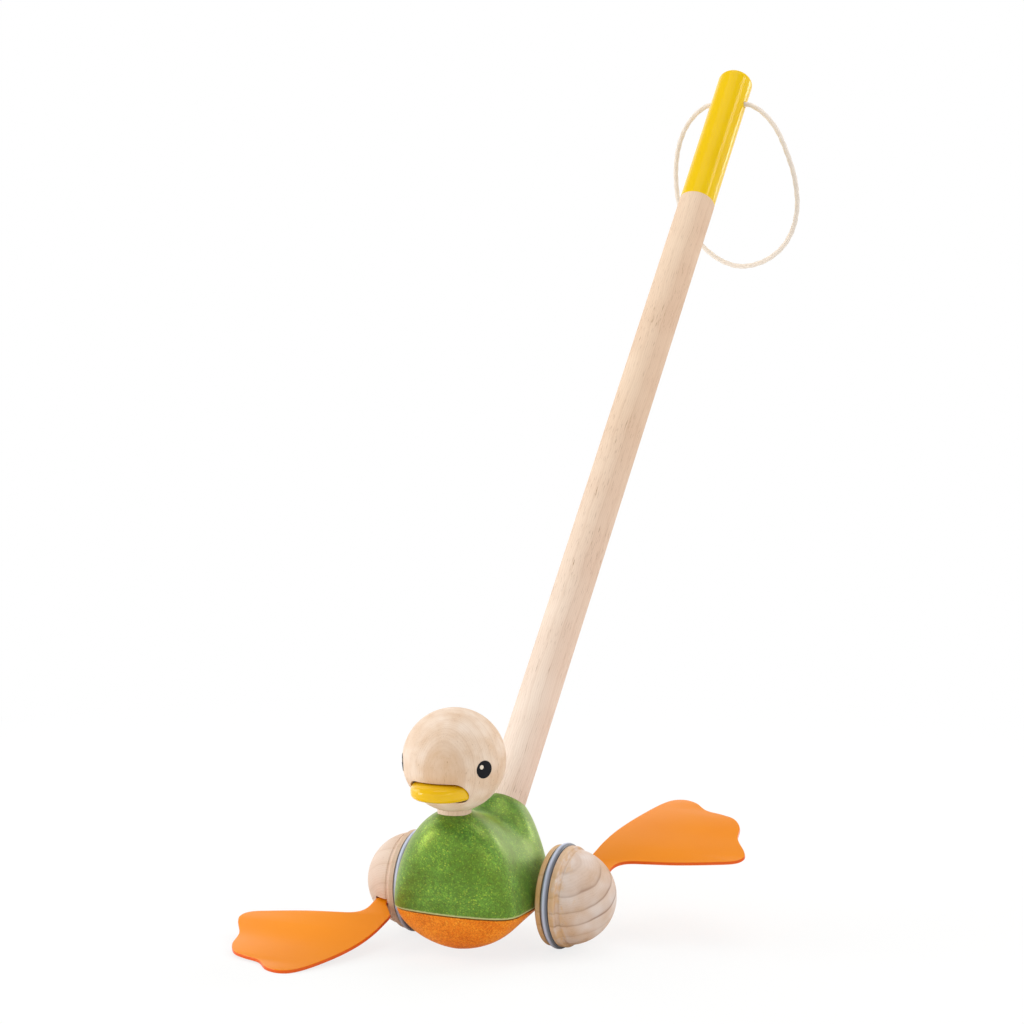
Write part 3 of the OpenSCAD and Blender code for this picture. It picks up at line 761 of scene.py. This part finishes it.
# the orange's dark seam line is painted shade under the green's edge
orangeComposite = composite("orangePressedWood", {
    **compositeTones, "dustMm": 1.0, "deep": "#f27912", "bright": "#ffa42e",
    "shade": "#dca468", "cloudBy": 0.5,
    "specks": [(0, "#b8500a"), (0.35, "#e07312"), (0.7, "#f58a1e"), (0.93, "#fbab32"), (1, "#fcc244")],
    "ior": 1.5, "shine": 0.5, "glossTint": "#ffc070", "fuzz": 0.2, "fuzzTint": "#ffb45a",
    "lineMarkAt": 24.2, "lineMarkMm": 0.5, "lineMarkBy": 0.8, "lineMark": "#7a4d22"})


# yellow enamel lacquer on the beak: smooth, bright gloss, a little brush-thick

lacquerTones = {"rough": 0.1, "shine": 0.28, "main": "#f2c610", "other": "#e8b30b", "cloudMm": 9,
                "cloudDetail": 2}


def beakLacquer():
    material, tree, shader, place = startMaterial("yellowLacquerBeak", {
        "Roughness": lacquerTones["rough"], "Specular IOR Level": lacquerTones["shine"]})
    cloud, paint = mottle(tree, place, lacquerTones)
    tree.links.new(paint, shader.inputs["Base Color"])
    bump = addNode(tree, "Bump", {"Strength": 0.12, "Distance": 0.0006}, {"Height": cloud})
    tree.links.new(bump.outputs[0], shader.inputs["Normal"])
    return material


# moulded rubber: satin, faintly mottled, its fine skin drawn coarser than real so that it shows

def rubber(name, tones):
    material, tree, shader, place = startMaterial(name, {
        "Roughness": tones["rough"], "Specular IOR Level": tones["shine"]})
    colour = mottle(tree, place, tones)[1]
    skin = addNode(tree, "TexNoise", {"Scale": 1000 / tones["skinMm"], "Detail": 2}, {"Vector": place})
    bump = addNode(tree, "Bump", {"Strength": 0.08, "Distance": 0.0002}, {"Height": skin.outputs["Fac"]})
    tree.links.new(bump.outputs[0], shader.inputs["Normal"])
    return material, tree, shader, place, colour


# feet: plain orange faces; the cut edges of the sheet are painted darker and redder, as painted shade on the
# sides

# edge: colour of the painted shade on the sheet's cut sides
footTones = {"rough": 0.28, "shine": 0.25, "main": "#f4910f", "other": "#ee880a", "cloudMm": 30,
             "cloudDetail": 3, "skinMm": 0.8, "edge": "#e85e0c", "sideShadeFacing": (0.45, 0.75)}


def footFinish():
    material, tree, shader, place, colour = rubber("orangeRubberSheet", footTones)
    # steep faces, the sheet's cut sides, get the painted shade colour
    facing = addNode(tree, "TexCoord").outputs["Normal"]
    flat = addNode(tree, "SeparateXYZ", None, {0: facing}).outputs["Z"]
    level = addNode(tree, "Math", {"operation": "ABSOLUTE"}, {0: flat})
    steep, lying = footTones["sideShadeFacing"]
    side = addNode(tree, "MapRange", {"From Min": steep, "From Max": lying, "To Min": 1, "To Max": 0},
                   {"Value": level.outputs[0]})
    sideShaded = addNode(tree, "MixRGB", {"Color2": linear(footTones["edge"])},
                    {"Fac": side.outputs[0], "Color1": colour})
    tree.links.new(sideShaded.outputs["Color"], shader.inputs["Base Color"])
    return material


# tyres: grey rings, their grey darkened as painted shade in the groove, with a pale painted highlight along
# the crown

# main and other: grey darkened as painted shade; the crown colour is a painted highlight
tyreTones = {"rough": 0.3, "shine": 0.5, "main": "#5c5f68", "other": "#6b6f78", "cloudMm": 12,
             "cloudDetail": 3, "skinMm": 0.6, "crownHighlight": "#cfd6ec", "crownAt": 42.2, "highlightMm": (0.2, 1.3),
             "highlightShare": 0.9}


def tyreFinish():
    material, tree, shader, place, colour = rubber("greySiliconeRing", tyreTones)
    # painted highlight along the middle of the ring, fading out towards its sides
    across = addNode(tree, "SeparateXYZ", None, {0: place}).outputs["X"]
    out = addNode(tree, "Math", {"operation": "ABSOLUTE"}, {0: across})
    aside = addNode(tree, "Math", {"operation": "SUBTRACT", 1: tyreTones["crownAt"] / 1000},
                    {0: out.outputs[0]})
    off = addNode(tree, "Math", {"operation": "ABSOLUTE"}, {0: aside.outputs[0]})
    near, far = metres(tyreTones["highlightMm"])
    highlightShare = addNode(tree, "MapRange", {
        "From Min": near, "From Max": far, "To Min": tyreTones["highlightShare"], "To Max": 0},
        {"Value": off.outputs[0]})
    whole = addNode(tree, "MixRGB", {"Color2": linear(tyreTones["crownHighlight"])},
                    {"Fac": highlightShare.outputs[0], "Color1": colour})
    tree.links.new(whole.outputs["Color"], shader.inputs["Base Color"])
    return material


# twisted cotton: matte, off-white, its fibres drawn coarser than real so that they show

cottonTones = {"rough": 0.9, "fuzz": 0.3, "main": "#f2e8dd", "other": "#dfd1c2", "cloudMm": 0.7,
               "cloudDetail": 3}


def cottonCord():
    material, tree, shader, place = startMaterial("twistedCotton", {
        "Roughness": cottonTones["rough"], "Sheen Weight": cottonTones["fuzz"]})
    fibre, colour = mottle(tree, place, cottonTones)
    tree.links.new(colour, shader.inputs["Base Color"])
    bump = addNode(tree, "Bump", {"Strength": 0.4, "Distance": 0.0003}, {"Height": fibre})
    tree.links.new(bump.outputs[0], shader.inputs["Normal"])
    return material


# printed ink on the head: flat and smooth, with little gloss

inkTones = {"rough": 0.5, "shine": 0.15, "cloudMm": 3, "cloudDetail": 2,
            "black": ("#0d0d12", "#16161c"), "cream": ("#efe3d2", "#e6d6c0")}


def ink(name, main, other):
    material, tree, shader, place = startMaterial(name, {
        "Roughness": inkTones["rough"], "Specular IOR Level": inkTones["shine"]})
    colour = mottle(tree, place, {**inkTones, "main": main, "other": other})[1]
    tree.links.new(colour, shader.inputs["Base Color"])
    return material


# drawn steel: bright, with lines along the axle, drawn coarser than real so that they show

steelTones = {"main": "#c9cacc", "other": "#aeb0b3", "lineMm": (6, 0.2), "rough": (0.22, 0.42)}


def drawnSteel():
    material, tree, shader, place = startMaterial("drawnSteel", {"Metallic": 1})
    along, across = steelTones["lineMm"]
    drawn = addNode(tree, "Mapping", {"Scale": (1000 / along, 1000 / across, 1000 / across)},
                    {"Vector": place})
    lines = addNode(tree, "TexNoise", {"Scale": 1, "Detail": 2}, {"Vector": drawn.outputs[0]}).outputs["Fac"]
    colour = addNode(tree, "MixRGB", {
        "Color1": linear(steelTones["main"]), "Color2": linear(steelTones["other"])}, {"Fac": lines})
    tree.links.new(colour.outputs["Color"], shader.inputs["Base Color"])
    smooth, rough = steelTones["rough"]
    lineMark = addNode(tree, "MapRange", {"To Min": smooth, "To Max": rough}, {"Value": lines})
    tree.links.new(lineMark.outputs[0], shader.inputs["Roughness"])
    return material


# every piece gets its material, its slot and the body that it rides on

footRubber = footFinish()
tyreRubber = tyreFinish()
steel = drawnSteel()
nodeFinish = {
    "head": headWood, "neck_dowel": neckWood, "handle_rod": stickWood, "joining_dowels": dowelWood,
    "wheel_left": wheelLeftWood, "wheel_right": wheelRightWood, "tyre_left": tyreRubber,
    "tyre_right": tyreRubber, "axle": steel, "washer_left": steel, "washer_right": steel,
}
for name, material in nodeFinish.items():
    for slot in nodes[name].material_slots:
        slot.material = material

dress(bodyUpper, greenComposite, "duck")
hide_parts("body_upper")
dress(bodyLower, orangeComposite, "duck")
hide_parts("body_lower")
dress(beakBill, beakLacquer(), "duck")
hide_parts("beak")
eyeInk = ink("blackPrint", *inkTones["black"])
for piece in eyes:
    dress(piece, eyeInk, "duck")
glintInk = ink("creamPrint", *inkTones["cream"])
for piece in glints:
    dress(piece, glintInk, "duck")
dress(footLeft, footRubber, "wheelset")
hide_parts("foot_left")
dress(footRight, footRubber, "wheelset")
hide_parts("foot_right")
dress(hangLoop, cottonCord(), "duck")
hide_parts("hang_cord")
print("materials given")


# studio in metres: pale floor, white surround for the camera, large soft lamps

studioSet = {
    "floor": "#f4f4f2", "floorSize": 8, "floorGlow": 0.8, "glowFrom": 0.3, "glowTo": 0.75,
    # surround lights the toy; shiny faces mirror a room that darkens from horizon to overhead
    "surround": 0.71, "horizon": 1.3, "overhead": 0.3, "rise": (0.38, 0.62), "aim": (0, 0.1, 0.15),
    # lamp: place, width and height, watts
    "lamps": [("leftLamp", (-1.35, 0.0, 0.9), (0.9, 0.9), 5), ("keyLamp", (-1.4, -1.0, 0.5), (0.6, 0.6), 8),
              ("topLamp", (0.05, 0.45, 2.0), (1.2, 1.2), 8.5),
              ("backLamp", (1.13, 0.81, 1.45), (0.4, 0.4), 4),
              ("fillLamp", (1.55, -0.55, 0.9), (0.6, 0.6), 2),
              ("edgeLamp", (0.8, 1.57, 0.67), (0.3, 0.3), 2.5)],
}


def makeFloor():  # matte paper that glows for the camera, so that it meets the white surround
    bpy.ops.object.select_all(action="DESELECT")
    bpy.ops.mesh.primitive_plane_add(size=studioSet["floorSize"])
    floor = bpy.context.object
    floor.name = "studioFloor"
    material = bpy.data.materials.new("paperFloor")
    material.use_nodes = True
    tree = material.node_tree
    tree.nodes.clear()
    paper = addNode(tree, "BsdfDiffuse", {"Color": linear(studioSet["floor"])})
    glow = addNode(tree, "Emission", {"Color": grey(1), "Strength": 1})
    rays = addNode(tree, "LightPath")
    place = addNode(tree, "TexCoord").outputs["Object"]
    reach = addNode(tree, "VectorMath", {"operation": "LENGTH"}, {0: place})
    bright = addNode(tree, "MapRange", {
        "From Min": studioSet["glowFrom"], "From Max": studioSet["glowTo"],
        "To Min": studioSet["floorGlow"], "To Max": 1}, {"Value": reach.outputs["Value"]})
    share = addNode(tree, "Math", {"operation": "MULTIPLY"},
                    {0: bright.outputs[0], 1: rays.outputs["Is Camera Ray"]})
    mix = addNode(tree, "MixShader", None, {0: share.outputs[0], 1: paper.outputs[0], 2: glow.outputs[0]})
    addNode(tree, "OutputMaterial", None, {"Surface": mix.outputs[0]})
    floor.data.materials.append(material)


def makeSurround():
    world = bpy.data.worlds.new("studio")
    bpy.context.scene.world = world
    world.use_nodes = True
    tree = world.node_tree
    tree.nodes.clear()
    rays = addNode(tree, "LightPath")
    seen = addNode(tree, "Math", {"operation": "MAXIMUM"},
                   {0: rays.outputs["Is Camera Ray"], 1: rays.outputs["Is Transmission Ray"]})
    level = addNode(tree, "MapRange", {"To Min": studioSet["surround"], "To Max": 1},
                    {"Value": seen.outputs[0]})
    way = addNode(tree, "TexCoord").outputs["Generated"]
    height = addNode(tree, "SeparateXYZ", None, {0: way}).outputs["Z"]
    low, high = studioSet["rise"]
    ceiling = addNode(tree, "MapRange", {
        "From Min": low, "From Max": high, "To Min": studioSet["horizon"], "To Max": studioSet["overhead"]},
        {"Value": height})
    mirrored = addNode(tree, "Mix", {"data_type": "FLOAT"}, {
        0: rays.outputs["Is Glossy Ray"], 2: level.outputs[0], 3: ceiling.outputs[0]})
    shine = addNode(tree, "Background", {"Color": grey(1)}, {"Strength": mirrored.outputs[0]})
    addNode(tree, "OutputWorld", None, {"Surface": shine.outputs[0]})


def makeLamps():
    for name, place, (width, height), watts in studioSet["lamps"]:
        bpy.ops.object.light_add(type="AREA", location=place)
        lamp = bpy.context.object
        lamp.name = name
        lamp.visible_camera = False
        lamp.data.shape = "RECTANGLE"
        lamp.data.size, lamp.data.size_y = width, height
        lamp.data.energy = watts
        lamp.rotation_euler = (Vector(studioSet["aim"]) - Vector(place)).to_track_quat("-Z", "Y").to_euler()


makeFloor()
makeSurround()
makeLamps()
bpy.context.scene.view_settings.view_transform = "Standard"
print("studio set")
